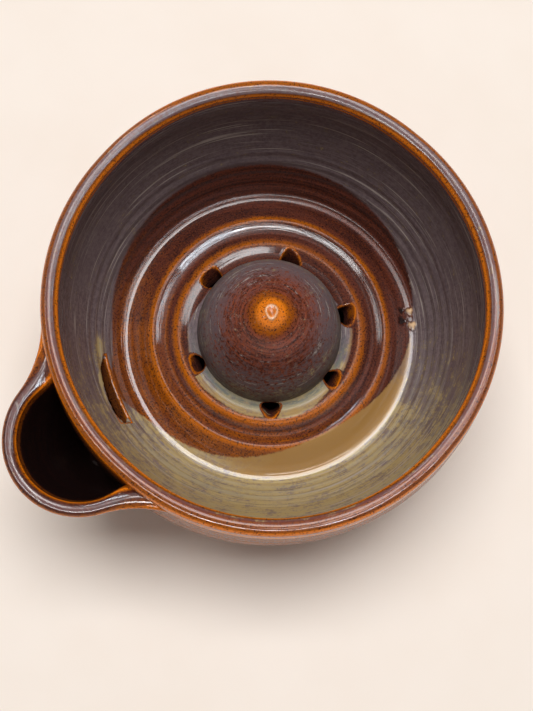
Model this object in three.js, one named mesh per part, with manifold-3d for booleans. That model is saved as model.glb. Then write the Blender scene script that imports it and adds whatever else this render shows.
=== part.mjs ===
// Hand-thrown citrus juicer in glazed stoneware: a bellied bowl, a luted strainer floor, a hollow
// reamer dome and a pocket spout. Millimetres, +Z up, spout towards +X, origin under the flat foot.
import * as THREE from 'three';
import { mergeVertices } from 'three/addons/utils/BufferGeometryUtils.js';
import Module from 'manifold-3d';

const wasm = await Module();
wasm.setup();

// Slip joint left between pieces that were luted together
const JOINT_GAP = 0.3;

// Outer bowl
const HEIGHT = 88;
const RIM_RADIUS = 76;
const RIM_WALL = 5.8;
const RIM_CROWN = 3.2;
const BELLY_BULGE = 3.2;
const BELLY_HEIGHT = 46;
const BELLY_WALL = 8.5;
const FOOT_RADIUS = 54;
const FOOT_HEIGHT = 5;
const FOOT_BEVEL = 2;
const BASE_THICKNESS = 9;
const CHAMBER_FLOOR_RADIUS = 46;

// Strainer floor: rises are above its outer trough
const STRAINER_DEPTH = 56;
const STRAINER_THICKNESS = 6;
const STRAINER_EDGE = 5;
const EYE_RADIUS = 15;
const MOAT_RADIUS = 29.5;
const MOAT_RISE = 4.5;
const INNER_RIDGE_RADIUS = 34.4;
const INNER_RIDGE_RISE = 7;
const GROOVE_RADIUS = 39;
const GROOVE_RISE = 4.2;
const OUTER_RIDGE_RADIUS = 43.6;
const OUTER_RIDGE_RISE = 6;
const TROUGH_RADIUS = 53;

// Flank of the strainer: how far along its run and rise the curve's handles reach
const FLANK_FOOT_RUN = 0.16;
const FLANK_HEAD_RUN = 0.72;
const FLANK_HEAD_RISE = 0.55;

// Luting coil that turns the strainer's flank into the wall
const COIL_DEPTH = 21;
const COIL_EDGE = 0.6;
const COIL_SHARE = 0.3;

// Reamer dome
const DOME_RADIUS = 27;
const DOME_RISE = 27;
const DOME_WALL = 5;
const TIP_RADIUS = 4.4;
const TIP_RISE = 4;
const TIP_SWEEP = 2.2;

// Drain holes, cut by hand at uneven angles, leaning in under the dome
const DRAIN_RADIUS = 29.2;
const DRAIN_LEAN = 30;
const DRAIN_HOLES = [
  { angle: 54.7, width: 6.4, reach: 4.8 },
  { angle: 106.1, width: 6, reach: 5.4 },
  { angle: 156.6, width: 7, reach: 6 },
  { angle: 217.8, width: 6.8, reach: 5.4 },
  { angle: 280.3, width: 7, reach: 6.2 },
  { angle: 348.4, width: 6, reach: 4.8 },
];

// Pour slot through the strainer's flank beside the spout
const SLOT_START = -26.5;
const SLOT_END = -2;
const SLOT_WIDTH = 8;
const SLOT_TAPER = 1.4;
const SLOT_SHARE = 0.5;

// Pocket spout, a thrown cone cut to the wall, and the port behind it
const SPOUT_RADIUS = 25.4;
const SPOUT_WALL = 4.8;
const SPOUT_CROWN = 2.4;
const SPOUT_DROP = 4.5;
const SPOUT_HEIGHT = 57;
const SPOUT_FOOT_RADIUS = 6;
const SPOUT_SETBACK = 0.6;
const SPOUT_SWELL = 0.65;
const WEB_LIP_RADIUS = 38;
const WEB_FOOT_RADIUS = 5;
const WEB_TAIL = 6;
const PORT_DIAMETER = 14;
const PORT_RISE = 5;

// Facets round the wheel axis, round the spout and round a small hole
const WHEEL_SIDES = 48;
const SPOUT_SIDES = 32;
const HOLE_SIDES = 16;

// Steps along each outline
const CROWN_STEPS = 6;
const BELLY_STEPS = 7;
const WALL_STEPS = 4;
const ENVELOPE_STEPS = 16;
const RIDGE_STEPS = 3;
const FLANK_STEPS = 6;
const DOME_STEPS = 9;
const TIP_STEPS = 5;
const SPOUT_STEPS = 7;
const WEB_STEPS = 8;
const WEB_TAIL_STEPS = 3;

// Heights and radii that follow from the driving dimensions
const shoulderZ = HEIGHT - RIM_CROWN;
const bellyRadius = RIM_RADIUS + BELLY_BULGE;
const troughZ = HEIGHT - STRAINER_DEPTH;
const moatZ = troughZ + MOAT_RISE;
const coilTopZ = HEIGHT - COIL_DEPTH;
const spoutTopZ = HEIGHT - SPOUT_DROP;
const spoutLipZ = spoutTopZ - SPOUT_CROWN;
const spoutFootZ = spoutTopZ - SPOUT_HEIGHT;

const point = (r, z) => new THREE.Vector2(r, z);
const steps = (count) => Array.from({ length: count + 1 }, (unused, i) => i / count);
const radians = THREE.MathUtils.degToRad;
const lerp = THREE.MathUtils.lerp;

// Radius of the round lower belly at a height, from its foot to the widest level
function lowerBelly(z, footRadius, footZ, widest) {
  const below = (BELLY_HEIGHT - z) / (BELLY_HEIGHT - footZ);
  return lerp(footRadius, widest, Math.sqrt(Math.max(0, 1 - below * below)));
}

// Outer surface of the bowl, drawn in towards the rim above the belly
function outerRadius(z) {
  if (z < BELLY_HEIGHT) {
    return lowerBelly(z, FOOT_RADIUS, FOOT_HEIGHT, bellyRadius);
  }
  const above = (z - BELLY_HEIGHT) / (shoulderZ - BELLY_HEIGHT);
  return bellyRadius - BELLY_BULGE * above * above;
}

// Inner surface of the bowl, with a wall that thins from belly to rim
function innerRadius(z) {
  if (z < BELLY_HEIGHT) {
    return lowerBelly(z, CHAMBER_FLOOR_RADIUS, BASE_THICKNESS, bellyRadius - BELLY_WALL);
  }
  const above = (z - BELLY_HEIGHT) / (shoulderZ - BELLY_HEIGHT);
  return outerRadius(z) - lerp(BELLY_WALL, RIM_WALL, above);
}

// Turn an outline of radius and height about the wheel axis; a ring's outline closes on itself
function turned(outline, sides = WHEEL_SIDES) {
  const first = outline[0];
  const closed = first.x > 0 ? [...outline, first.clone()] : outline;
  const geometry = new THREE.LatheGeometry(closed, sides);
  geometry.rotateX(Math.PI / 2);
  return geometry;
}

// Closed mesh to solid: shared corners merged and the slivers on the axis dropped
function solid(geometry) {
  const bare = geometry.clone();
  bare.deleteAttribute('normal');
  bare.deleteAttribute('uv');
  const merged = mergeVertices(bare, 1e-4);
  const corners = merged.index.array;
  const kept = [];
  for (let i = 0; i < corners.length; i += 3) {
    const [a, b, c] = corners.slice(i, i + 3);
    if (a !== b && b !== c && c !== a) {
      kept.push(a, b, c);
    }
  }
  const vertProperties = new Float32Array(merged.attributes.position.array);
  const triVerts = new Uint32Array(kept);
  return new wasm.Manifold(new wasm.Mesh({ numProp: 3, vertProperties, triVerts }));
}

// Solid back to a geometry for its mesh
function skin(body) {
  const { vertProperties, triVerts } = body.getMesh();
  const geometry = new THREE.BufferGeometry();
  geometry.setAttribute('position', new THREE.BufferAttribute(new Float32Array(vertProperties), 3));
  geometry.setIndex(new THREE.BufferAttribute(new Uint32Array(triVerts), 1));
  geometry.computeVertexNormals();
  return geometry;
}

// Outline points along the rounded top of a wall, from its outer to its inner side
function crown(outer, inner, z, rise) {
  const middle = (outer + inner) / 2;
  const half = (outer - inner) / 2;
  return steps(CROWN_STEPS).map((t) => point(
    middle + half * Math.cos(Math.PI * t),
    z + rise * Math.sin(Math.PI * t),
  ));
}

// Round lower belly from its foot, where it starts level, up to the widest height
function bellyOutline(footRadius, footZ, widest) {
  return steps(BELLY_STEPS).map((t) => point(
    lerp(footRadius, widest, Math.sin(t * Math.PI / 2)),
    lerp(BELLY_HEIGHT, footZ, Math.cos(t * Math.PI / 2)),
  ));
}

// Bowl: foot, belly, rim, then down the inside to the chamber floor
function bowlOutline() {
  const upper = steps(WALL_STEPS).slice(1, -1).map((t) => lerp(BELLY_HEIGHT, shoulderZ, t));
  const inside = bellyOutline(CHAMBER_FLOOR_RADIUS, BASE_THICKNESS, bellyRadius - BELLY_WALL);
  return [
    point(0, 0),
    point(FOOT_RADIUS - FOOT_BEVEL, 0),
    point(FOOT_RADIUS, FOOT_BEVEL),
    ...bellyOutline(FOOT_RADIUS, FOOT_HEIGHT, bellyRadius),
    ...upper.map((z) => point(outerRadius(z), z)),
    ...crown(RIM_RADIUS, RIM_RADIUS - RIM_WALL, shoulderZ, RIM_CROWN),
    ...upper.reverse().map((z) => point(innerRadius(z), z)),
    ...inside.reverse(),
    point(0, BASE_THICKNESS),
  ];
}

// Everything inside the bowl's outer surface, grown by a gap, to cut what is luted onto it
function bowlEnvelope(gap) {
  const heights = steps(ENVELOPE_STEPS).map((t) => lerp(FOOT_HEIGHT, shoulderZ, t));
  return solid(turned([
    point(0, -gap),
    point(FOOT_RADIUS + gap, -gap),
    ...heights.map((z) => point(outerRadius(z) + gap, z)),
    point(RIM_RADIUS + gap, HEIGHT + gap),
    point(0, HEIGHT + gap),
  ]));
}

// Flank of the strainer and its coil: one curve from the trough up into the wall
function flankCurve() {
  const run = innerRadius(coilTopZ) - COIL_EDGE - TROUGH_RADIUS;
  const rise = coilTopZ - troughZ;
  return new THREE.CubicBezierCurve(
    point(TROUGH_RADIUS, troughZ),
    point(TROUGH_RADIUS + FLANK_FOOT_RUN * run, troughZ),
    point(TROUGH_RADIUS + FLANK_HEAD_RUN * run, troughZ + FLANK_HEAD_RISE * rise),
    point(TROUGH_RADIUS + run, coilTopZ),
  );
}
const flank = flankCurve();
const flankEdge = flank.getPoint(1 - COIL_SHARE);

// Ridges and hollows pulled by the fingers: half waves between crests and troughs
function floorOutline() {
  const levels = [
    point(MOAT_RADIUS, moatZ),
    point(INNER_RIDGE_RADIUS, troughZ + INNER_RIDGE_RISE),
    point(GROOVE_RADIUS, troughZ + GROOVE_RISE),
    point(OUTER_RIDGE_RADIUS, troughZ + OUTER_RIDGE_RISE),
    point(TROUGH_RADIUS, troughZ),
  ];
  const outline = [levels[0]];
  for (let i = 1; i < levels.length; i += 1) {
    const from = levels[i - 1];
    const to = levels[i];
    for (const t of steps(RIDGE_STEPS).slice(1)) {
      const wave = (1 - Math.cos(Math.PI * t)) / 2;
      outline.push(point(lerp(from.x, to.x, t), lerp(from.y, to.y, wave)));
    }
  }
  return outline;
}

// Strainer: underside outwards, edge up against the wall, then the worked top back to the eye
function strainerOutline() {
  const edgeFootZ = flankEdge.y - STRAINER_EDGE;
  const underZ = troughZ - STRAINER_THICKNESS;
  const under = new THREE.QuadraticBezierCurve(
    point(TROUGH_RADIUS, underZ),
    point(TROUGH_RADIUS + STRAINER_THICKNESS, underZ),
    point(innerRadius(edgeFootZ) - JOINT_GAP, edgeFootZ),
  );
  const flankTop = steps(FLANK_STEPS).slice(1).map((t) => flank.getPoint(t * (1 - COIL_SHARE)));
  return [
    point(EYE_RADIUS, moatZ - STRAINER_THICKNESS),
    point(INNER_RIDGE_RADIUS, moatZ - STRAINER_THICKNESS),
    ...under.getPoints(FLANK_STEPS),
    point(innerRadius(flankEdge.y) - JOINT_GAP, flankEdge.y),
    ...flankTop.reverse(),
    ...floorOutline().reverse(),
    point(EYE_RADIUS, moatZ),
  ];
}

// One drain tool: an oval drill that leans in under the dome
function drainTool({ angle, width, reach }) {
  const length = 2 * (STRAINER_THICKNESS + DOME_WALL);
  const drill = new THREE.CylinderGeometry(1, 1, length, HOLE_SIDES);
  drill.rotateX(Math.PI / 2);
  drill.scale(reach / 2, width / 2, 1);
  drill.rotateY(radians(DRAIN_LEAN));
  drill.translate(DRAIN_RADIUS, 0, moatZ);
  drill.rotateZ(radians(angle));
  return solid(drill);
}
const drains = DRAIN_HOLES.map(drainTool).reduce((all, one) => all.add(one));

// Slot tool: straight along its lower lip, widest beside the spout, square to the flank, from a
// thickness above the flank to a thickness below it
function slotTool() {
  const middle = flank.getPoint(SLOT_SHARE);
  const slope = flank.getTangent(SLOT_SHARE);
  const angle = radians((SLOT_START + SLOT_END) / 2);
  const length = radians(SLOT_END - SLOT_START) * middle.x;
  const end = length / 2;
  const half = SLOT_WIDTH / 2;
  const outline = new THREE.Shape();
  outline.moveTo(-end, -half);
  outline.lineTo(end - half / 2, -half);
  outline.quadraticCurveTo(end, -half, end, 0);
  outline.quadraticCurveTo(end, half, end / 2, half);
  outline.quadraticCurveTo(-end / 2, half, -end, SLOT_TAPER - half);
  const depth = 3 * STRAINER_THICKNESS;
  const tool = new THREE.ExtrudeGeometry(outline, {
    depth,
    bevelEnabled: false,
    curveSegments: CROWN_STEPS,
  });
  tool.translate(0, 0, -STRAINER_THICKNESS);
  const along = new THREE.Vector3(-Math.sin(angle), Math.cos(angle), 0);
  const out = new THREE.Vector3(Math.cos(angle), Math.sin(angle), 0);
  const up = out.clone().multiplyScalar(slope.x).setZ(slope.y);
  const through = along.clone().cross(up);
  const place = new THREE.Matrix4().makeBasis(along, up, through);
  place.setPosition(out.multiplyScalar(middle.x).setZ(middle.y));
  return solid(tool.applyMatrix4(place));
}

// Coil: from the strainer's edge up the wall, its inner face carrying the flank's curve on
function coilOutline() {
  const footZ = flankEdge.y + JOINT_GAP;
  const outside = steps(WALL_STEPS).map((t) => lerp(footZ, coilTopZ, t));
  const inside = steps(WALL_STEPS).slice(1).map((t) => flank.getPoint(lerp(1 - COIL_SHARE, 1, t)));
  return [
    point(flankEdge.x, footZ),
    ...outside.map((z) => point(innerRadius(z) - JOINT_GAP, z)),
    ...inside.reverse(),
  ];
}

// Dome: down the hollow, out across its foot, up the outside and over the pinched tip
function domeOutline() {
  const footZ = moatZ + JOINT_GAP;
  const dome = (radius, rise, t) => point(
    radius * Math.cos(t * Math.PI / 2),
    footZ + rise * Math.sin(t * Math.PI / 2),
  );
  const hollow = steps(DOME_STEPS).map((t) => dome(DOME_RADIUS - DOME_WALL, DOME_RISE - DOME_WALL, t));
  hollow.at(-1).x = 0;
  const shoulder = Math.acos((TIP_RADIUS + TIP_SWEEP) / DOME_RADIUS) / (Math.PI / 2);
  const outside = steps(DOME_STEPS).map((t) => dome(DOME_RADIUS, DOME_RISE, t * shoulder));
  const top = footZ + DOME_RISE;
  const tip = new THREE.CubicBezierCurve(
    outside.at(-1),
    point(TIP_RADIUS, top),
    point(TIP_RADIUS, top + TIP_RISE),
    point(0, top + TIP_RISE),
  );
  return [
    ...hollow.reverse(),
    ...outside,
    ...tip.getPoints(TIP_STEPS).slice(1),
  ];
}

// Spout: radius of the cone at a height, and where its axis stands off the wheel axis
function spoutRadius(z) {
  const up = THREE.MathUtils.clamp((z - spoutFootZ) / (spoutLipZ - spoutFootZ), 0, 1);
  return lerp(SPOUT_FOOT_RADIUS, SPOUT_RADIUS, up ** SPOUT_SWELL);
}
const spoutFootX = outerRadius(spoutFootZ);
const spoutLean = (RIM_RADIUS + SPOUT_SETBACK - spoutFootX) / SPOUT_HEIGHT;
const spoutAxisX = (z) => spoutFootX + spoutLean * (z - spoutFootZ);

// Heights up the cone, closer together where its round foot curves most
const spoutHeights = (fromZ) => steps(SPOUT_STEPS).map((t) => lerp(fromZ, spoutLipZ, t * t));

// Set a cone turned about its own axis against the wall, each level shifted along the lean
function againstWall(geometry) {
  const shift = spoutFootX - spoutLean * spoutFootZ;
  const place = new THREE.Matrix4().set(1, 0, spoutLean, shift, 0, 1, 0, 0, 0, 0, 1, 0, 0, 0, 0, 1);
  return geometry.applyMatrix4(place);
}

function spoutShell() {
  const floorZ = spoutFootZ + SPOUT_WALL;
  const inner = (z) => spoutRadius(z) - SPOUT_WALL;
  const outline = [
    point(0, spoutFootZ),
    ...spoutHeights(spoutFootZ).slice(0, -1).map((z) => point(spoutRadius(z), z)),
    ...crown(SPOUT_RADIUS, inner(spoutLipZ), spoutLipZ, SPOUT_CROWN),
    ...spoutHeights(floorZ).slice(0, -1).reverse().map((z) => point(inner(z), z)),
    point(0, floorZ),
  ];
  return solid(againstWall(turned(outline, SPOUT_SIDES)));
}

// The whole cone with its hollow filled, grown by a gap, to cut the coil that lies against it
function spoutEnvelope(gap) {
  const outline = [
    point(0, spoutFootZ - gap),
    ...spoutHeights(spoutFootZ).map((z) => point(spoutRadius(z) + gap, z)),
    point(SPOUT_RADIUS + gap, HEIGHT),
    point(0, HEIGHT),
  ];
  return solid(againstWall(turned(outline, SPOUT_SIDES)));
}

// Level outline of the spout with its web at a height: against the wall, round the smeared corner,
// round the front of the cone and back
function webLevel(z) {
  const tail = THREE.MathUtils.clamp((spoutFootZ - z) / WEB_TAIL, 0, 1);
  const up = THREE.MathUtils.clamp((z - spoutFootZ) / (spoutLipZ - spoutFootZ), 0, 1);
  const fillet = lerp(WEB_FOOT_RADIUS, WEB_LIP_RADIUS, up);
  const cone = spoutRadius(z) * (1 - tail) + JOINT_GAP * tail;
  const wall = outerRadius(z);
  const stand = spoutAxisX(z);
  const fromWall = wall + fillet;
  const fromCone = cone + fillet;
  const x = (stand * stand + fromWall * fromWall - fromCone * fromCone) / (2 * stand);
  const y = Math.sqrt(fromWall * fromWall - x * x);
  const toWall = Math.atan2(-y, -x);
  const toCone = Math.atan2(-y, stand - x);
  const corner = steps(WEB_STEPS).map((t) => {
    const turn = lerp(toWall, toCone, t);
    return point(x + fillet * Math.cos(turn), y + fillet * Math.sin(turn));
  });
  const front = toCone + Math.PI;
  const half = steps(WEB_STEPS).slice(1).map((t) => {
    const turn = front * (1 - t);
    return point(stand + cone * Math.cos(turn), cone * Math.sin(turn));
  });
  const inside = corner[0].clone().multiplyScalar((wall - BELLY_WALL) / wall);
  const left = [inside, ...corner, ...half];
  const right = left.slice(0, -1).map((p) => point(p.x, -p.y));
  return [...right, ...left.reverse()].map((p) => new THREE.Vector3(p.x, p.y, z));
}

// Closed skin over a stack of level outlines, lowest first, that have the same number of points
function lofted(levels) {
  const count = levels[0].length;
  const faces = [];
  for (let row = 1; row < levels.length; row += 1) {
    for (let i = 0; i < count; i += 1) {
      const next = (i + 1) % count;
      const [a, b] = [(row - 1) * count + i, (row - 1) * count + next];
      const [c, d] = [row * count + i, row * count + next];
      faces.push(a, b, d, a, d, c);
    }
  }
  const cap = (level) => THREE.ShapeUtils.triangulateShape(level.map((p) => point(p.x, p.y)), []);
  const top = (levels.length - 1) * count;
  cap(levels[0]).forEach(([a, b, c]) => faces.push(a, c, b));
  cap(levels.at(-1)).forEach(([a, b, c]) => faces.push(top + a, top + b, top + c));
  const geometry = new THREE.BufferGeometry().setFromPoints(levels.flat());
  geometry.setIndex(faces);
  return geometry;
}

// Web: coil smeared into the corner between spout and wall, with a tail wiped down under the foot
function spoutWeb() {
  const tail = steps(WEB_TAIL_STEPS).slice(0, -1).map((t) => spoutFootZ - WEB_TAIL * (1 - t));
  return solid(lofted([...tail, ...spoutHeights(spoutFootZ)].map(webLevel)));
}

// Round port through the wall, from the juice chamber into the foot of the spout
function portTool() {
  const z = troughZ + PORT_RISE;
  const radius = PORT_DIAMETER / 2;
  const drill = new THREE.CylinderGeometry(radius, radius, 2 * BELLY_WALL, HOLE_SIDES);
  drill.rotateZ(Math.PI / 2);
  drill.translate(outerRadius(z) - BELLY_WALL / 2, 0, z);
  return solid(drill);
}

const envelope = bowlEnvelope(JOINT_GAP);
const pieces = {
  bowl_body: solid(turned(bowlOutline())).subtract(portTool()),
  strainer_floor: solid(turned(strainerOutline())).subtract(drains).subtract(slotTool()),
  strainer_coil: solid(turned(coilOutline())),
  reamer_dome: solid(turned(domeOutline())).subtract(drains),
  pour_spout: spoutShell().subtract(envelope),
  spout_coil: spoutWeb().subtract(envelope).subtract(spoutEnvelope(JOINT_GAP)),
};

// Glaze colours: slate over iron brown, breaking to amber where it runs thin
const glazes = {
  bowl_body: { color: 0x5f4f49, roughness: 0.28 },
  strainer_floor: { color: 0x74401f, roughness: 0.24 },
  strainer_coil: { color: 0x66473a, roughness: 0.26 },
  reamer_dome: { color: 0x5a3b36, roughness: 0.3 },
  pour_spout: { color: 0x8a4f24, roughness: 0.26 },
  spout_coil: { color: 0xa8662a, roughness: 0.3 },
};

const group = new THREE.Group();
for (const [name, body] of Object.entries(pieces)) {
  const material = new THREE.MeshStandardMaterial({ ...glazes[name], metalness: 0 });
  const mesh = new THREE.Mesh(skin(body), material);
  mesh.name = name;
  group.add(mesh);
}

export default group;
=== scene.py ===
import functools
import math
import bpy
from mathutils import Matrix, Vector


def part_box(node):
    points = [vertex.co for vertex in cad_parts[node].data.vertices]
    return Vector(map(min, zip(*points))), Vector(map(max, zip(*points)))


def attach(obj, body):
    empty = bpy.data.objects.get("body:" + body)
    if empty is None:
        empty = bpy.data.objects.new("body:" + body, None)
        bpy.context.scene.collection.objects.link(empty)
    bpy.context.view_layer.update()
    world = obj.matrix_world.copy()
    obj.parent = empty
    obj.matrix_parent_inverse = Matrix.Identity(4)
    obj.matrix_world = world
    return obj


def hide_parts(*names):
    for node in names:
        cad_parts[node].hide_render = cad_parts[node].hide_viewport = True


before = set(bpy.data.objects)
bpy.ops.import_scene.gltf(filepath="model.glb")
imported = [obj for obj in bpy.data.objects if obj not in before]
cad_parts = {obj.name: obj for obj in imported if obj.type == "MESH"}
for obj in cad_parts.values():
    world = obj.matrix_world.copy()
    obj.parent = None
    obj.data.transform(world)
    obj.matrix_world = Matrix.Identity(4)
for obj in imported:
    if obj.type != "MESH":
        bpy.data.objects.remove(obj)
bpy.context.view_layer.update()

from types import SimpleNamespace

import bpy
import numpy as np
from mathutils import Matrix, Vector

# Sizes are in millimetres, the scene is in metres, and angles are in degrees round the wheel axis
MM = 0.001


def extent(node):
    """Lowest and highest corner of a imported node."""
    return [Vector(corner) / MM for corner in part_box(node)]


bowl_high = extent("bowl_body")[1]
coil_high = extent("strainer_coil")[1]
dome_low, dome_high = extent("reamer_dome")
spout_low, spout_high = extent("pour_spout")

# Bowl
HEIGHT = bowl_high.z
BELLY_RADIUS = bowl_high.y
BELLY_HEIGHT = 46
BELLY_BULGE = 3.2
BELLY_WALL = 8.5
RIM_WALL = 5.8
RIM_CROWN = 3.2
FOOT_RADIUS = 54
FOOT_HEIGHT = 5
FOOT_BEVEL = 2
BASE_THICKNESS = 9
CHAMBER_FLOOR_RADIUS = 46
PORT_RADIUS = 7
PORT_HEIGHT = 37
RIM_RADIUS = BELLY_RADIUS - BELLY_BULGE
SHOULDER_Z = HEIGHT - RIM_CROWN

# Throwing rings as pitch, depth and lead, and the points at the belly's foot that carry none
RINGS = ((7.3, 0.16, 0), (3.1, 0.07, 1.7))
PLAIN_POINTS = 4

# Strainer floor as radius and height of its crests and hollows, from the moat to the outer trough
MOAT = (29.5, 36.9)
INNER_RIDGE = (34.4, 38.2)
GROOVE = (39.0, 36.0)
OUTER_RIDGE = (43.6, 38.2)
TROUGH = (53.0, 32.0)
LEDGE_RUN = 2.2
LEDGE_RISE = 0.3
MOAT_BANK = 0.5
# Share of each slope that is straight, so that crests and hollows stay narrow
SLOPE_STRAIGHT = 0.7
STRAINER_THICKNESS = 6
STRAINER_EDGE = 5
FINGER_DEPTH = 0.22
FINGER_PITCH = 4.2
EYE_RADIUS = 15
FLANK_FOOT_RUN = 0.24
FLANK_HEAD_RUN = 0.72
FLANK_HEAD_RISE = 0.55
# Coil's share of the flank, and the laps at its seam
COIL_SHARE = 0.3
EDGE_LAP = 0.05
COIL_LAP = 0.02
COIL_TUCK = 0.5
COIL_FEATHER = 12
COIL_BLEND = 0.9

# Reamer dome
DOME_RADIUS = dome_high.x
DOME_FOOT_Z = dome_low.z
DOME_WALL = 5
DOME_FILLET = 0.6
DOME_SUNK = 1
FILLET_SUNK = 0.25
TIP_RADIUS = 3.6
TIP_RISE = 4
TIP_SHOULDER = 11
TIP_SWEEP = 5
DOME_RISE = dome_high.z - DOME_FOOT_Z - TIP_RISE
# Leaf-shaped facet at the tip: its edge as height and width, and its dish as depth and run
LEAF_RADIUS = 2.0
LEAF_POINT = 1.0
LEAF_SHARPNESS = 6
LEAF_SHIFT = 0.4
LEAF_EDGE = (0.35, 0.24)
LEAF_DISH = (0.8, 0.8)

# Drain holes: angle, width round the dome, reach away from it and turn of their three corners
DRAIN_RADIUS = 29.2
DRAIN_LEAN = 30
DRAIN_DEPTH = 22
HOLE_ROUND = 0.35
HOLE_SHARPNESS = 3
HOLE_WANDER = 0.06
DRAIN_HOLES = (
    (54.7, 6.4, 4.4, 0),
    (106.1, 5.8, 4.6, 75),
    (156.6, 7.0, 6.0, 40),
    (217.8, 6.8, 5.4, 20),
    (280.3, 7.0, 6.2, 60),
    (348.4, 6.0, 4.2, 50),
)

# Pour slot in the strainer's flank
SLOT_START = -26.5
SLOT_END = -2.0
SLOT_MIDDLE = (SLOT_START + SLOT_END) / 2
SLOT_WIDTH = 8
SLOT_TAPER = 1.4
SLOT_SHARE = 0.5

# Spout
SPOUT_RADIUS = spout_high.y
SPOUT_WALL = 4.8
SPOUT_CROWN = 2.4
SPOUT_SWELL = 0.65
SPOUT_FOOT_RADIUS = 6
SPOUT_AXIS_GAP = 0.2
SPOUT_SUNK = 1.5
SPOUT_FOOT_Z = spout_low.z
SPOUT_LIP_Z = spout_high.z - SPOUT_CROWN
# The lip stands a little proud of the web that it runs out along, and dips into the rim at its ends
LIP_PROUD = 0.35
LIP_DEPTH = 8
LIP_DIP = 0.7
LIP_DIP_START = 0.7
LIP_DIP_HEIGHT = 4
# Clay pressed into the mouth's corners: share of the lip's wall, run to full, drop, and band that drops
CORNER_FILL = 0.8
CORNER_RUN = 0.45
CORNER_DROP = 1.6
CORNER_BAND = (0.35, 0.8)

# Web of clay smeared into the spout's corners, with a tail under its foot
WEB_LIP_RADIUS = 38
WEB_FOOT_RADIUS = 5
WEB_TAIL = 6
WEB_TAIL_RADIUS = 0.3
WEB_CROWN = (1.6, 1.4)
WEB_LAP = 0.02
WEB_TUCK = 2
# Hidden back of the web, which thins with the cone
WEB_WALL = 4.2
WEB_WALL_SHARE = 0.8
WEB_WALL_LEAST = 0.2
WEB_APART = 0.1

# Slight oval of the upper wall, and the crumbs and pits in the glaze as angle, radius and size
OVAL = 1.2
OVAL_TURN = 58
OVAL_FULL = SHOULDER_Z - 3
CRUMBS = ((153.3, 54.8, 1.1), (147.4, 55.0, 1.3))
PITS = ((149.6, 51.2, 1.6), (154.0, 51.6, 1.1))
CRUMB_HEIGHT = 0.9
PIT_DEPTH = 0.7

# Photograph's directions in the object's frame
IMAGE_RIGHT = Vector((-0.80361, 0.59464, 0.02512))
IMAGE_UP = Vector((-0.57849, -0.79032, 0.20187))
IMAGE_BACK = Vector((0.13989, 0.14769, 0.97909))

# Mesh fineness
WHEEL_SIDES = 360
HOLE_SIDES = 40
WALL_STEPS = 60
CHAMBER_STEPS = 16
RIM_STEPS = 28
CORNER_STEPS = 8
FLANK_STEPS = 90
FLANK_SAMPLES = 200
LEDGE_STEPS = 10
SLOPE_STEPS = 18
DOME_STEPS = 70
TIP_STEPS = 24
SLOT_STEPS = 12
LIP_STEPS = 20
SPOUT_STEPS = 36
WEB_STEPS = 24
TAIL_STEPS = 12
VOXEL = 0.6
DOME_VOXEL = 0.45
SMOOTH_PASSES = 3


# Helpers

def lerp(a, b, t):
    return a + (b - a) * t


def steps(count):
    return np.linspace(0, 1, count + 1)


def near(value, centre, width):
    """Soft bump, 1 at its centre."""
    return np.exp(-((value - centre) / width) ** 2)


def rise(value, low, high):
    """Soft step from 0 at low to 1 at high."""
    t = np.clip((value - low) / (high - low), 0, 1)
    return t * t * (3 - 2 * t)


def strongest(*layers):
    """Largest of some layers, point by point."""
    return functools.reduce(np.maximum, layers)


def arc(centre, radii, start, end, count):
    """Points along an upright ellipse."""
    turns = np.radians(lerp(start, end, steps(count)))
    return [(centre[0] + radii[0] * math.cos(a), centre[1] + radii[1] * math.sin(a)) for a in turns]


def bezier(points, t):
    """Point on a Bezier curve of any order."""
    level = [np.array(p, float) for p in points]
    while len(level) > 1:
        level = [lerp(a, b, t) for a, b in zip(level, level[1:])]
    return level[0]


# Outlines of the turned pieces, as radius and height

def lower_belly(z, foot_radius, foot_z, widest):
    below = (BELLY_HEIGHT - z) / (BELLY_HEIGHT - foot_z)
    return lerp(foot_radius, widest, math.sqrt(max(0, 1 - below * below)))


def outer_radius(z):
    if z < BELLY_HEIGHT:
        return lower_belly(max(z, FOOT_HEIGHT), FOOT_RADIUS, FOOT_HEIGHT, BELLY_RADIUS)
    above = (z - BELLY_HEIGHT) / (SHOULDER_Z - BELLY_HEIGHT)
    return BELLY_RADIUS - BELLY_BULGE * above * above


def inner_radius(z):
    if z < BELLY_HEIGHT:
        foot_z = max(z, BASE_THICKNESS)
        return lower_belly(foot_z, CHAMBER_FLOOR_RADIUS, BASE_THICKNESS, BELLY_RADIUS - BELLY_WALL)
    above = (z - BELLY_HEIGHT) / (SHOULDER_Z - BELLY_HEIGHT)
    return outer_radius(z) - lerp(BELLY_WALL, RIM_WALL, above)


def throwing_rings(z):
    """Shallow rings that the fingers leave up a thrown wall, never proud of it."""
    turn = z * 2 * math.pi
    return sum(depth * (math.sin(turn / pitch + lead) - 1) for pitch, depth, lead in RINGS)


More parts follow.
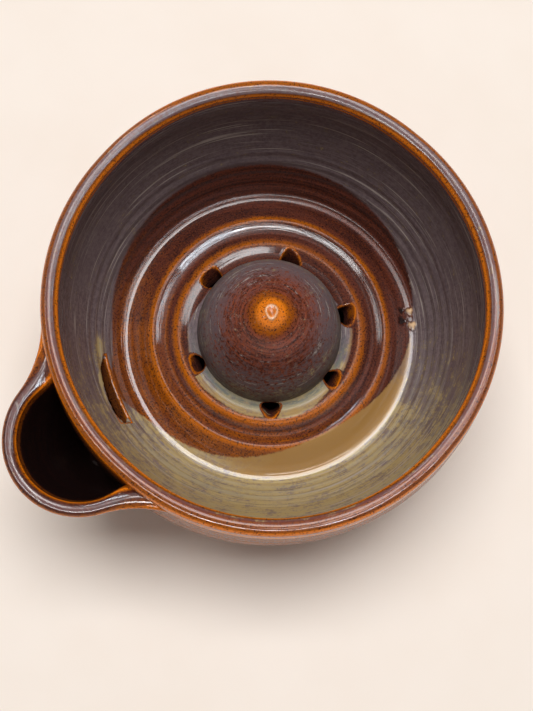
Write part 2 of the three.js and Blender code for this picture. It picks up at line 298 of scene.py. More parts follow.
def bowl_outline():
    """Up the outside, over the rim and down the inside."""
    span = (BELLY_RADIUS - FOOT_RADIUS, BELLY_HEIGHT - FOOT_HEIGHT)
    belly = arc((FOOT_RADIUS, BELLY_HEIGHT), span, -90, 0, WALL_STEPS)
    plain = belly[:PLAIN_POINTS]
    heights = lerp(BELLY_HEIGHT, SHOULDER_Z, steps(WALL_STEPS))
    wall = [(outer_radius(z), z) for z in heights[1:-1]]
    outside = [(r + throwing_rings(z), z) for r, z in belly[PLAIN_POINTS:] + wall]
    crown = arc((RIM_RADIUS - RIM_WALL / 2, SHOULDER_Z), (RIM_WALL / 2, RIM_CROWN), 0, 180, RIM_STEPS)
    heights = lerp(SHOULDER_Z, BELLY_HEIGHT, steps(WALL_STEPS))
    inside = [(inner_radius(z) - throwing_rings(z), z) for z in heights[1:]]
    span = (BELLY_RADIUS - BELLY_WALL - CHAMBER_FLOOR_RADIUS, BELLY_HEIGHT - BASE_THICKNESS)
    chamber = arc((CHAMBER_FLOOR_RADIUS, BELLY_HEIGHT), span, 0, -90, CHAMBER_STEPS)[1:]
    foot = [(0, 0), (FOOT_RADIUS / 2, 0), (FOOT_RADIUS - 2 * FOOT_BEVEL, 0)]
    bevel = arc((FOOT_RADIUS - FOOT_BEVEL, FOOT_BEVEL), (FOOT_BEVEL, FOOT_BEVEL), -90, 0, CORNER_STEPS)
    neck = [(FOOT_RADIUS, FOOT_HEIGHT - FOOT_BEVEL), (FOOT_RADIUS, FOOT_HEIGHT - FOOT_BEVEL / 4)]
    return foot + bevel + neck + plain + outside + crown + inside + chamber + [(0, BASE_THICKNESS)]


def flank_point(t):
    """Flank of the strainer and its coil, from the trough at 0 up into the wall at 1."""
    top_radius = inner_radius(coil_high.z)
    run = top_radius - TROUGH[0]
    climb = coil_high.z - TROUGH[1]
    foot = (TROUGH[0] + LEDGE_RUN, TROUGH[1] + LEDGE_RISE)
    return bezier((
        foot,
        (TROUGH[0] + LEDGE_RUN / 2 + FLANK_FOOT_RUN * run, foot[1] + LEDGE_RISE),
        (TROUGH[0] + FLANK_HEAD_RUN * run, TROUGH[1] + FLANK_HEAD_RISE * climb),
        (top_radius, coil_high.z),
    ), t)


def floor_outline():
    """Worked top of the strainer from moat to trough, as slopes between crests and hollows."""
    levels = [MOAT, INNER_RIDGE, GROOVE, OUTER_RIDGE, TROUGH]
    outline = [MOAT]
    for low, high in zip(levels, levels[1:]):
        for t in steps(SLOPE_STEPS)[1:]:
            wave = lerp((1 - math.cos(math.pi * t)) / 2, t, SLOPE_STRAIGHT)
            outline.append((lerp(low[0], high[0], t), lerp(low[1], high[1], wave)))
    return outline


def strainer_outline():
    """Underside, edge, flank, ledge and floor."""
    edge = flank_point(1 - COIL_SHARE + EDGE_LAP)
    edge_foot_z = edge[1] - STRAINER_EDGE
    under_z = TROUGH[1] - STRAINER_THICKNESS
    moat_under = MOAT[1] - STRAINER_THICKNESS
    under = [bezier((
        (TROUGH[0], under_z),
        (TROUGH[0] + STRAINER_THICKNESS, under_z),
        (inner_radius(edge_foot_z), edge_foot_z),
    ), t) for t in steps(CHAMBER_STEPS)]
    flank = [flank_point(t) for t in lerp(1 - COIL_SHARE, 0, steps(FLANK_STEPS))]
    ledge = [bezier((
        TROUGH,
        (TROUGH[0] + LEDGE_RUN / 2, TROUGH[1] + LEDGE_RISE / 4),
        flank_point(0),
    ), t) for t in lerp(1, 0, steps(LEDGE_STEPS))[1:-1]]
    return [
        (EYE_RADIUS, moat_under),
        (INNER_RIDGE[0], moat_under),
        *under,
        (inner_radius(edge[1]), edge[1]),
        (edge[0] + COIL_TUCK, edge[1]),
        *[(r - FINGER_DEPTH * math.sin(z * 2 * math.pi / FINGER_PITCH), z) for r, z in flank],
        *ledge,
        *floor_outline()[::-1],
        (DOME_RADIUS, MOAT[1] + MOAT_BANK),
        (EYE_RADIUS, MOAT[1] + MOAT_BANK),
    ]


def coil_outline():
    """Coil that carries the flank on into the wall, thinning to nothing up it."""
    foot = flank_point(1 - COIL_SHARE - COIL_LAP)
    curve = np.array([flank_point(t) for t in steps(FLANK_SAMPLES)])
    slope = (curve[-1, 0] - curve[-4, 0]) / (curve[-1, 1] - curve[-4, 1])
    inside = []
    for z in lerp(foot[1], coil_high.z + COIL_FEATHER, steps(WALL_STEPS)):
        flank = np.interp(z, curve[:, 1], curve[:, 0]) + slope * max(0, z - coil_high.z)
        wall = inner_radius(z) - throwing_rings(z)
        body = wall - flank
        inside.append((wall - (body + math.hypot(body, COIL_BLEND)) / 2, z))
    inside[0] = tuple(foot)
    back = [(inner_radius(z) + COIL_TUCK, z) for _, z in inside]
    return [(foot[0] + COIL_TUCK, foot[1] - COIL_TUCK / 2), *back, *inside[::-1]]


def dome_outline():
    """Hollow, foot with its fillet, outside and pinched tip."""
    foot = DOME_FOOT_Z
    inner = DOME_RADIUS - DOME_WALL
    outer = DOME_RADIUS + DOME_FILLET
    hollow = arc((0, foot), (inner, DOME_RISE - DOME_WALL), 90, 0, TIP_STEPS)
    hollow[0] = (0, hollow[0][1])
    sunk = [(inner, foot - DOME_SUNK), (outer, foot - DOME_SUNK)]
    corner = (outer, foot - FILLET_SUNK + DOME_FILLET)
    fillet = arc(corner, (DOME_FILLET, DOME_FILLET), -90, -180, CORNER_STEPS)
    start = math.degrees(math.asin((DOME_FILLET - FILLET_SUNK) / DOME_RISE))
    shoulder = math.degrees(math.acos(TIP_SHOULDER / DOME_RADIUS))
    outside = arc((0, foot), (DOME_RADIUS, DOME_RISE), start, shoulder, DOME_STEPS)[1:]
    top = foot + DOME_RISE
    heading = np.array(outside[-1]) - np.array(outside[-2])
    heading *= TIP_SWEEP / np.hypot(*heading)
    tip = [bezier((
        outside[-1],
        outside[-1] + heading,
        (TIP_RADIUS, top + TIP_RISE),
        (0, top + TIP_RISE),
    ), t) for t in steps(TIP_STEPS)[1:]]
    return [*hollow, *sunk, *fillet, *outside, *tip[:-1], (0, top + TIP_RISE)]


# Mesh building

def piece_from(name, points, faces):
    mesh = bpy.data.meshes.new(name)
    mesh.from_pydata((np.asarray(points) * MM).tolist(), [], faces)
    piece = bpy.data.objects.new(name, mesh)
    bpy.context.scene.collection.objects.link(piece)
    return piece


def quads(rows, columns, wrap_rows, wrap_columns=True):
    """Faces of a grid of points, which may close on itself along its rows and its columns."""
    faces = []
    for row in range(rows if wrap_rows else rows - 1):
        low = row * columns
        high = (row + 1) % rows * columns
        for j in range(columns if wrap_columns else columns - 1):
            k = (j + 1) % columns
            faces.append((low + j, low + k, high + k, high + j))
    return faces


def turned(name, outline, sides=WHEEL_SIDES):
    """Outline of radius and height turned about the wheel axis; it ends on the axis or is a ring."""
    outline = np.array([tuple(p) for p in outline], float)
    poles = outline[0][0] < 1e-6
    rings = outline[1:-1] if poles else outline
    turn = np.linspace(0, 2 * math.pi, sides, endpoint=False)
    points = np.empty((len(rings), sides, 3))
    points[..., 0] = rings[:, :1] * np.cos(turn)
    points[..., 1] = rings[:, :1] * np.sin(turn)
    points[..., 2] = rings[:, 1:]
    points = points.reshape(-1, 3)
    faces = quads(len(rings), sides, not poles)
    if poles:
        first = len(points)
        last = first + 1
        ends = [(0, 0, outline[0][1]), (0, 0, outline[-1][1])]
        points = np.vstack([points, ends])
        base = (len(rings) - 1) * sides
        faces += [(first, (j + 1) % sides, j) for j in range(sides)]
        faces += [(last, base + j, base + (j + 1) % sides) for j in range(sides)]
    return piece_from(name, points, faces)


def prism(name, outline, low, high):
    """Upright prism over a closed outline of x and y that runs anticlockwise."""
    count = len(outline)
    points = [(x, y, z) for z in (low, high) for x, y in outline]
    ends = [tuple(reversed(range(count))), tuple(range(count, 2 * count))]
    return piece_from(name, points, ends + quads(2, count, False))


def apply_modifiers(piece):
    graph = bpy.context.evaluated_depsgraph_get()
    mesh = bpy.data.meshes.new_from_object(piece.evaluated_get(graph))
    old = piece.data
    piece.modifiers.clear()
    piece.data = mesh
    bpy.data.meshes.remove(old)


def cut(piece, tools):
    """Cut tools out of a piece and throw the tools away."""
    for tool in tools:
        knife = piece.modifiers.new("cut", "BOOLEAN")
        knife.operation = "DIFFERENCE"
        knife.solver = "EXACT"
        knife.object = tool
    apply_modifiers(piece)
    for tool in tools:
        mesh = tool.data
        bpy.data.objects.remove(tool)
        bpy.data.meshes.remove(mesh)


def soften(piece, voxel):
    """Round every cut edge as wet clay and glaze do."""
    net = piece.modifiers.new("net", "REMESH")
    net.mode = "VOXEL"
    net.voxel_size = voxel * MM
    ease = piece.modifiers.new("ease", "SMOOTH")
    ease.factor = 0.5
    ease.iterations = SMOOTH_PASSES
    apply_modifiers(piece)


# Tools that cut the holes

def hole_shape(bearing, corner):
    """Size of a soft three-cornered outline by bearing, about 1."""
    faces = [math.radians(corner + face) for face in (60, 180, 300)]
    sides = [np.maximum(0, np.cos(bearing - face)) ** HOLE_SHARPNESS for face in faces]
    return (HOLE_ROUND + np.sum(sides, axis=0)) ** (-1 / HOLE_SHARPNESS)


def drain_tool(angle, width, reach, corner):
    """Hand-cut hole, a lopsided oval with three soft corners."""
    turns = np.radians(lerp(0, 360, steps(HOLE_SIDES)[:-1]))
    wander = hole_shape(turns, corner) * (1 + HOLE_WANDER * np.cos(2 * turns + angle))
    outline = list(zip(reach / 2 * wander * np.cos(turns), width / 2 * wander * np.sin(turns)))
    tool = prism("drain_tool", outline, -DRAIN_DEPTH / 2, DRAIN_DEPTH / 2)
    lean = Matrix.Rotation(math.radians(DRAIN_LEAN), 4, "Y")
    out = Matrix.Translation(Vector((DRAIN_RADIUS, 0, MOAT[1])) * MM)
    tool.data.transform(Matrix.Rotation(math.radians(angle), 4, "Z") @ out @ lean)
    return tool


def slot_reach():
    """Half of the slot's length along the flank."""
    return math.radians(SLOT_END - SLOT_START) * flank_point(SLOT_SHARE)[0] / 2


def slot_frame():
    """Middle of the slot, and the directions along it, up the flank and through it."""
    middle = flank_point(SLOT_SHARE)
    nudge = 0.01
    slope = flank_point(SLOT_SHARE + nudge) - flank_point(SLOT_SHARE - nudge)
    slope /= np.hypot(*slope)
    turn = math.radians(SLOT_MIDDLE)
    out = Vector((math.cos(turn), math.sin(turn), 0))
    along = Vector((-math.sin(turn), math.cos(turn), 0))
    up = out * slope[0] + Vector((0, 0, slope[1]))
    place = out * middle[0] + Vector((0, 0, middle[1]))
    return place, along, up, along.cross(up)


def slot_tool():
    """Straight along its lower lip, widest beside the spout, square to the flank."""
    place, along, up, through = slot_frame()
    end = slot_reach()
    half = SLOT_WIDTH / 2
    outline = [(-end, -half), (end - half / 2, -half)]
    for curve in (
        ((end - half / 2, -half), (end, -half), (end, 0)),
        ((end, 0), (end, half), (end / 2, half)),
        ((end / 2, half), (-end / 2, half), (-end, SLOT_TAPER - half)),
    ):
        outline += [tuple(bezier(curve, t)) for t in steps(SLOT_STEPS)[1:]]
    tool = prism("slot_tool", outline, -STRAINER_THICKNESS, 2 * STRAINER_THICKNESS)
    turn = Matrix((along, up, through)).transposed().to_4x4()
    tool.data.transform(Matrix.Translation(place * MM) @ turn)
    return tool


def port_tool():
    """Round port through the wall behind the spout."""
    outline = arc((0, 0), (PORT_RADIUS, PORT_RADIUS), 0, 360, HOLE_SIDES)[:-1]
    tool = prism("port_tool", outline, -BELLY_WALL, BELLY_WALL)
    middle = Vector((outer_radius(PORT_HEIGHT) - BELLY_WALL / 2, 0, PORT_HEIGHT))
    tool.data.transform(Matrix.Translation(middle * MM) @ Matrix.Rotation(math.pi / 2, 4, "Y"))
    return tool


# Spout

def spout_share(z):
    """Share of the way up the spout, 0 to 1."""
    return min(1, max(0, (z - SPOUT_FOOT_Z) / (SPOUT_LIP_Z - SPOUT_FOOT_Z)))


def spout_cone(z):
    return lerp(SPOUT_FOOT_RADIUS, SPOUT_RADIUS, spout_share(z) ** SPOUT_SWELL)


def spout_axis(z):
    """How far out the spout's leaning axis lies, up to the lip."""
    foot_x = outer_radius(SPOUT_FOOT_Z)
    top_x = spout_high.x - SPOUT_RADIUS
    return lerp(foot_x, top_x, (min(z, SPOUT_LIP_Z) - SPOUT_FOOT_Z) / (SPOUT_LIP_Z - SPOUT_FOOT_Z))


def spout_outline():
    """Outside up from the foot, over the lip and down the inside, as radius about the spout's axis."""
    outside = lerp(SPOUT_FOOT_Z, SPOUT_LIP_Z, steps(WALL_STEPS) ** 2)
    floor_z = SPOUT_FOOT_Z + SPOUT_WALL
    inside = lerp(floor_z, SPOUT_LIP_Z, steps(WALL_STEPS) ** 2)[::-1]
    lip = (spout_cone(SPOUT_LIP_Z) - SPOUT_WALL / 2, SPOUT_LIP_Z)
    return [
        (SPOUT_AXIS_GAP, SPOUT_FOOT_Z),
        (SPOUT_FOOT_RADIUS / 2, SPOUT_FOOT_Z),
        *[(spout_cone(z), z) for z in outside[:-1]],
        *arc(lip, (SPOUT_WALL / 2, SPOUT_CROWN), 0, 180, LIP_STEPS),
        *[(spout_cone(z) - SPOUT_WALL, z) for z in inside[1:]],
        (SPOUT_AXIS_GAP, floor_z),
    ]


def web_radius(z):
    """Radius of the arc that smooths the corner between wall and cone."""
    return lerp(WEB_FOOT_RADIUS, WEB_LIP_RADIUS, spout_share(z))


def web_centre(stand, wall, cone, fillet):
    """Middle of that arc, on the side of positive y."""
    from_wall = wall + fillet
    from_cone = cone + fillet
    x = (stand * stand + from_wall * from_wall - from_cone * from_cone) / (2 * stand)
    return x, math.sqrt(from_wall * from_wall - x * x)


def lip_share(z):
    """0 on the smeared web and 1 on the free lip."""
    return rise(z, SPOUT_LIP_Z - 2 * LIP_DEPTH, SPOUT_LIP_Z - LIP_DEPTH)


def corner_fill():
    """How far the pressed clay has reached its full width, from the cone out along the lip."""
    return rise(steps(WEB_STEPS), 0, CORNER_RUN)


def spout_plan(depth, z):
    """Half of the spout's plan at a depth in its clay, round the cone and out along the wall."""
    cone = spout_cone(z)
    wall = outer_radius(z)
    stand = spout_axis(z)
    fillet = web_radius(z) - lerp(-LIP_PROUD, LIP_PROUD, lip_share(z))
    x, y = web_centre(stand, wall, cone, fillet)
    front = lerp(0, math.atan2(y, x - stand), steps(SPOUT_STEPS))
    corner = lerp(math.atan2(-y, stand - x), math.atan2(-y, -x), steps(WEB_STEPS))
    reach = cone - depth
    plan = [(stand + reach * math.cos(a), reach * math.sin(a)) for a in front]
    buried = wall - min(depth, SPOUT_WALL)
    for turn, fill in list(zip(corner, corner_fill()))[1:]:
        hollow = fillet + depth * (1 + CORNER_FILL * fill * spout_share(z) ** 2)
        point = np.array((x + hollow * math.cos(turn), y + hollow * math.sin(turn)))
        plan.append(tuple(point * max(1, buried / np.hypot(*point))))
    end = math.atan2(y, x) + SPOUT_SUNK / wall
    sunk = wall - max(min(depth, SPOUT_WALL), SPOUT_SUNK)
    return [*plan, (sunk * math.cos(end), sunk * math.sin(end))]


def spout_mesh():
    """The piece, with the depth of each point in the clay and its share of the way out along the lip."""
    points = []
    depths = []
    outline = [(spout_cone(z) - r, z) for r, z in spout_outline()]
    fill = np.concatenate([np.zeros(SPOUT_STEPS), corner_fill(), [1]])
    for depth, z in outline:
        half = spout_plan(depth, z)
        dips = LIP_DIP * rise(steps(len(half) - 1), LIP_DIP_START, 1)
        dips += CORNER_DROP * fill * rise(depth / SPOUT_WALL, *CORNER_BAND)
        dips *= rise(z, SPOUT_LIP_Z - LIP_DIP_HEIGHT, SPOUT_LIP_Z)
        right = [(x, y, z - dip) for (x, y), dip in zip(half, dips)]
        left = [(x, -y, low) for x, y, low in right[:0:-1]]
        points += left + right
        depths += [depth] * len(left + right)
    rows = len(outline)
    columns = len(points) // rows
    faces = quads(rows, columns, True, False)
    first_end = [row * columns for row in range(rows)]
    faces.append(tuple(first_end[::-1]))
    faces.append(tuple(corner + columns - 1 for corner in first_end))
    swing = np.tile(np.abs(lerp(-1, 1, steps(columns - 1))), rows)
    return piece_from("pour_spout_clay", points, faces), np.array(depths), swing


def web_level(z, shrink):
    """Half outline of the smeared corner at a height, out along its face and back inside the clay."""
    tail = min(1, max(0, (SPOUT_FOOT_Z - z) / WEB_TAIL))
    fillet = web_radius(z)
    cone = lerp(spout_cone(z), WEB_TAIL_RADIUS, tail)
    wall = outer_radius(z)
    stand = spout_axis(z)
    x, y = web_centre(stand, wall, cone, fillet)
    turns = lerp(math.atan2(-y, -x) - WEB_LAP, math.atan2(-y, stand - x) + WEB_LAP, steps(WEB_STEPS))
    tuck = min(WEB_TUCK, cone / 2)
    inner = wall - tuck
    meet_x = (stand * stand + inner * inner - (cone - tuck) ** 2) / (2 * stand)
    meet_y = math.sqrt(max(WEB_APART ** 2, inner * inner - meet_x * meet_x))
    thick = min(WEB_WALL, WEB_WALL_SHARE * cone + WEB_WALL_LEAST)
    solid = 1 - lip_share(z)
    face = []
    back = []
    for turn, share in zip(turns, steps(WEB_STEPS)):
        heading = np.array((math.cos(turn), math.sin(turn)))
        face.append(np.array((x, y)) + (fillet + shrink) * heading)
        hidden = np.array((x, y)) + (fillet + thick) * heading
        back.append(lerp(hidden, np.array((meet_x, meet_y)), solid * math.sin(math.pi * share)))
    return face + back[::-1]


def web_mesh():
    """Both smeared corners, rounded over at the lip, and which of their points are hidden."""
    tail = SPOUT_FOOT_Z - WEB_TAIL * (1 - steps(TAIL_STEPS)[:-1])
    sides = lerp(SPOUT_FOOT_Z, SPOUT_LIP_Z, steps(WALL_STEPS) ** 2)
    levels = [(z, 0) for z in (*tail, *sides)]
    crown = arc((0, SPOUT_LIP_Z), WEB_CROWN, 0, 90, CORNER_STEPS)[1:]
    levels += [(z, WEB_CROWN[0] - r) for r, z in crown]
    columns = 2 * (WEB_STEPS + 1)
    points = []
    faces = []
    hidden = []
    for side in (-1, 1):
        base = len(points)
        for z, shrink in levels:
            points += [(x, side * y, z) for x, y in web_level(z, shrink)[::-side]]
            hidden += [j > WEB_STEPS for j in range(columns)][::-side]
        skin = quads(len(levels), columns, False)
        skin.append(tuple(reversed(range(columns))))
        skin.append(tuple(range((len(levels) - 1) * columns, len(levels) * columns)))
        faces += [tuple(base + corner for corner in face) for face in skin]
    return piece_from("spout_coil_clay", points, faces), np.array(hidden)


# Marks of the hand

class Places:
    """Radius, angle and height of a mesh's points."""

    def __init__(self, piece):
        count = len(piece.data.vertices)
        flat = np.empty(count * 3, np.float32)
        piece.data.vertices.foreach_get("co", flat)
        self.points = flat.reshape(-1, 3).astype(float) / MM
        self.x, self.y, self.z = self.points.T
        self.radius = np.hypot(self.x, self.y)
        self.angle = np.degrees(np.arctan2(self.y, self.x))
        self.zero = np.zeros(count)


def move_points(piece, points):
    piece.data.vertices.foreach_set("co", np.ascontiguousarray(points * MM, np.float32).ravel())
    piece.data.update()


def shape_by_hand(piece):
    """Slight oval that lifting the pot leaves in its upper wall."""
    at = Places(piece)
    oval = np.maximum(0, np.cos(np.radians(2 * (at.angle - OVAL_TURN))))
    grow = 1 + OVAL / RIM_RADIUS * oval * rise(at.z, BELLY_HEIGHT, OVAL_FULL)
    points = at.points.copy()
    points[:, :2] *= grow[:, None]
    move_points(piece, points)


def spots(at, places):
    """Closeness to the nearest of some small ragged places on top of the strainer, 0 to 1."""
    close = at.zero.copy()
    on_top = at.z > TROUGH[1] - STRAINER_THICKNESS / 2
    for angle, radius, size in places:
        x = radius * math.cos(math.radians(angle))
        y = radius * math.sin(math.radians(angle))
        bearing = np.arctan2(at.y - y, at.x - x)
        ragged = size * (1 + 0.22 * np.cos(3 * bearing + angle) + 0.12 * np.cos(5 * bearing))
        away = np.hypot(at.x - x, at.y - y) / ragged
        close = np.maximum(close, rise(1.25 - away, 0, 0.6) * on_top)
    return close


def blemish(piece):
    """Crumbs of clay fired into the glaze, and the pits beside them."""
    at = Places(piece)
    points = at.points.copy()
    points[:, 2] += CRUMB_HEIGHT * spots(at, CRUMBS) - PIT_DEPTH * spots(at, PITS)
    move_points(piece, points)


def leaf_share(at):
    """Distance from the middle of the leaf at the tip, 1 on its outline."""
    near_side = -Vector((IMAGE_UP.x, IMAGE_UP.y)).normalized()
    along = at.x * near_side.x + at.y * near_side.y + LEAF_SHIFT
    across = at.x * near_side.y - at.y * near_side.x
    bearing = np.arctan2(across, along)
    leaf = LEAF_RADIUS + LEAF_POINT * np.maximum(0, np.cos(bearing)) ** LEAF_SHARPNESS
    return np.hypot(along, across) / leaf


def pinch(piece):
    """Leaf-shaped facet with a raised edge where the clay was pinched off at the tip."""
    at = Places(piece)
    share = leaf_share(at)
    top = at.z > dome_high.z - 2 * TIP_RISE
    edge = LEAF_EDGE[0] * near(share, 1.0, LEAF_EDGE[1])
    points = at.points.copy()
    points[:, 2] += top * (edge - LEAF_DISH[0] * rise(1 - share, 0, LEAF_DISH[1]))
    points[:, 2] = np.minimum(points[:, 2], dome_high.z)
    move_points(piece, points)


# Where each glaze lies, painted on the meshes as strengths, and the coat as a depth that hides from 0 up

# One layer paints shade as near black in holes, the slot, the spout's mouth, pits, the web's hidden back
# and the dome's foot and near side; another lays unglazed clay, which on the tip's leaf edge is also a
# painted highlight
LAYERS = ("coat", "amber", "pool", "olive", "plum", "blue", "bare", "dark", "matt")

# Turns of the photograph's near side, the coat's run, the olive, the painted light and shade, and the warm
# floor
NEAR_TURN = 54
RUN_TURN = 85
OLIVE_TURN = 56
LIGHT_SHADE_TURN = 47
WARM_TURN = 10
# Coat that hides all, what wiping takes off it, and the radius that parts the moat from the floor
COAT_FULL = 6
COAT_WIPE = 9
MOAT_LIMIT = 36


def facing(angle, side, low, high):
    """Soft step round the wheel towards a side, between two cosines."""
    return rise(np.cos(np.radians(angle - side)), low, high)


def beside(angle, centre, width):
    """Soft bump round the wheel."""
    return near((angle - centre + 180) % 360 - 180, 0, width)


def brown_edge(angle):
    """Radius where the poured coat gives way to the brown glaze of the floor."""
    tilt = 5.8 * np.cos(np.radians(angle + 115))
    run = 8.6 * beside(angle, RUN_TURN, 50)
    notch = 4.5 * beside(angle, SLOT_MIDDLE, 12)
    return 57.4 + tilt - run + notch


def pool_edge(angle):
    """Radius that the coat reaches where it has run down the dome and lies in the moat."""
    wave = 0.5 * np.cos(np.radians(5 * angle)) + 0.3 * np.cos(np.radians(9 * angle + 40))
    swell = 2.4 * beside(angle, 50, 60)
    retreat = 3.6 * facing(angle, NEAR_TURN - 180, -0.1, 0.6)
    return 31.0 + swell + wave - retreat


def olive_side(angle):
    return facing(angle, OLIVE_TURN, -0.1, 0.95)


def far_flank(at):
    """Flank on the photograph's far side, where the brown glaze shines less."""
    far = facing(at.angle, NEAR_TURN - 180, -0.3, 0.5)
    return 0.75 * far * rise(at.radius, TROUGH[0] + 1, TROUGH[0] + 4)


def over_lip(across, height):
    """Angle over a rounded lip: 0 outside, 90 on the crown, 180 inside."""
    return np.degrees(np.arctan2(height, across))


def drain_edges(at):
    """How close a point is to the rim of a drain hole, 0 to 1, and how deep inside one it lies."""
    edge = at.zero.copy()
    inside = at.zero.copy()
    lean = math.radians(DRAIN_LEAN)
    for angle, width, reach, corner in DRAIN_HOLES:
        turn = math.radians(angle)
        out = at.x * math.cos(turn) + at.y * math.sin(turn) - DRAIN_RADIUS
        side = at.y * math.cos(turn) - at.x * math.sin(turn)
        up = at.z - MOAT[1]
        depth = -(out * math.sin(lean) + up * math.cos(lean))
        away = (out * math.cos(lean) - up * math.sin(lean)) / (reach / 2)
        along = side / (width / 2)
        size = np.hypot(away, along) / hole_shape(np.arctan2(along, away), corner)
        gap = (size - 1) * (width + reach) / 4
        close = np.abs(out) < 9
        edge = np.maximum(edge, close * near(gap, 0.35, 0.4) * (depth < 2))
        inside = np.maximum(inside, close * rise(0.8 - gap, 0, 0.4) * rise(depth, -2.5, 6.5))
    return edge, inside


def slot_edges(at):
    """How close a point is to the slot's lip, whether it lies behind it, and the lobes of coat over it."""
    place, along, up, through = slot_frame()
    off = at.points - np.array(place)
    side = off @ np.array(along)
    lift = off @ np.array(up)
    depth = off @ np.array(through)
    end = slot_reach()
    half = SLOT_WIDTH / 2
    fall = np.clip((end / 2 - side) / (1.5 * end), 0, 1)
    top = half - (SLOT_WIDTH - SLOT_TAPER) * fall * fall
    gap = strongest(np.abs(side) - end, -half - lift, lift - top)
    close = near(gap, 0.3, 0.45) * rise(1.4 - depth, 0, 0.8) * (depth > -2)
    behind = rise(0.8 - gap, 0, 0.5) * rise(depth, -0.2, 0.6) * (depth < 14)
    upper_lobe = near(side, -0.2 * end, 0.9 * end) * near(lift - top, 2.2, 1.8)
    end_lobe = near(side, -1.1 * end, 0.4 * end) * near(lift, -0.5, 3.5)
    return close, behind, np.maximum(upper_lobe, end_lobe)


def flank_layers(at, lobe):
    """Coat and olive on the flank, where the coat hangs in lobes over the slot."""
    return at.radius - brown_edge(at.angle) + 4 * lobe, np.maximum(olive_side(at.angle), 1.4 * lobe)


def paint(piece, **layers):
    """Keep each layer as a value on the mesh's points for the glaze to read."""
    for name in LAYERS:
        values = np.broadcast_to(layers.get(name, 0.0), len(piece.data.vertices))
        layer = piece.data.attributes.new(name, "FLOAT", "POINT")
        layer.data.foreach_set("value", np.ascontiguousarray(values, np.float32))


def paint_bowl(piece):
    """Slate inside, amber brown outside and a plum rim."""
    at = Places(piece)
    outside = at.radius > np.array([(outer_radius(z) + inner_radius(z)) / 2 for z in at.z])
    across = (at.radius - RIM_RADIUS + RIM_WALL / 2) / (RIM_WALL / 2)
    over = over_lip(across, (at.z - SHOULDER_Z) / RIM_CROWN)
    on_rim = at.z > SHOULDER_Z - 4
    lines = np.maximum(near(np.abs(over), 156, 32), near(np.abs(over), 24, 28)) * on_rim
    crown = near(over, 90, 42) * on_rim
    below_rim = near(at.z, 81, 9) * outside
    behind = slot_edges(at)[1]
    stand = np.array([spout_axis(z) for z in at.z])
    mouth = np.array([spout_cone(z) + 3 * spout_share(z) for z in at.z])
    # Where the spout's mouth opens over the bowl's outside, painted near black as shade
    in_mouth = outside * (np.hypot(at.x - stand, at.y) < mouth) * rise(SPOUT_LIP_Z - at.z, -1, 9)
    chamber = 1 - rise(at.z, 26, 34)
    inside_coat = np.minimum(at.radius - brown_edge(at.angle), COAT_FULL)
    inside_coat -= COAT_WIPE * np.maximum(behind, chamber)
    near_side = facing(at.angle, NEAR_TURN, -0.5, 0.6)
    coat = np.where(outside, -0.8 - 0.8 * below_rim, inside_coat)
    coat = lerp(coat, lerp(0.9, 0.35, near_side), crown) - 8 * lines
    inside_plum = 0.5 * rise(at.z, 66, 82)
    foot = outside & (at.z < FOOT_HEIGHT + 3)
    paint(
        piece,
        coat=coat,
        amber=strongest(1.25 * lines, np.where(outside, 0.8, 0.0), 0.9 * below_rim, 0.3 * crown),
        pool=np.where(outside & (at.z < SHOULDER_Z), 0.85, 0.0),
        olive=np.where(outside, 0.2, olive_side(at.angle)) * (1 - crown),
        plum=np.maximum(lerp(0.5, 1.15, near_side) * crown, np.where(outside, 0.3, inside_plum)),
        bare=np.where(foot, rise(FOOT_HEIGHT + 2 - at.z, -0.8, 0.8), 0.0),
        # Painted shade behind the slot and down in the spout's mouth
        dark=np.maximum(np.where(outside, 0.0, 0.65 * behind), 0.95 * in_mouth),
        matt=np.maximum(np.where(outside, 0.6 * rise(SHOULDER_Z - at.z, 0, 4), 0.0), 0.35 * crown),
    )


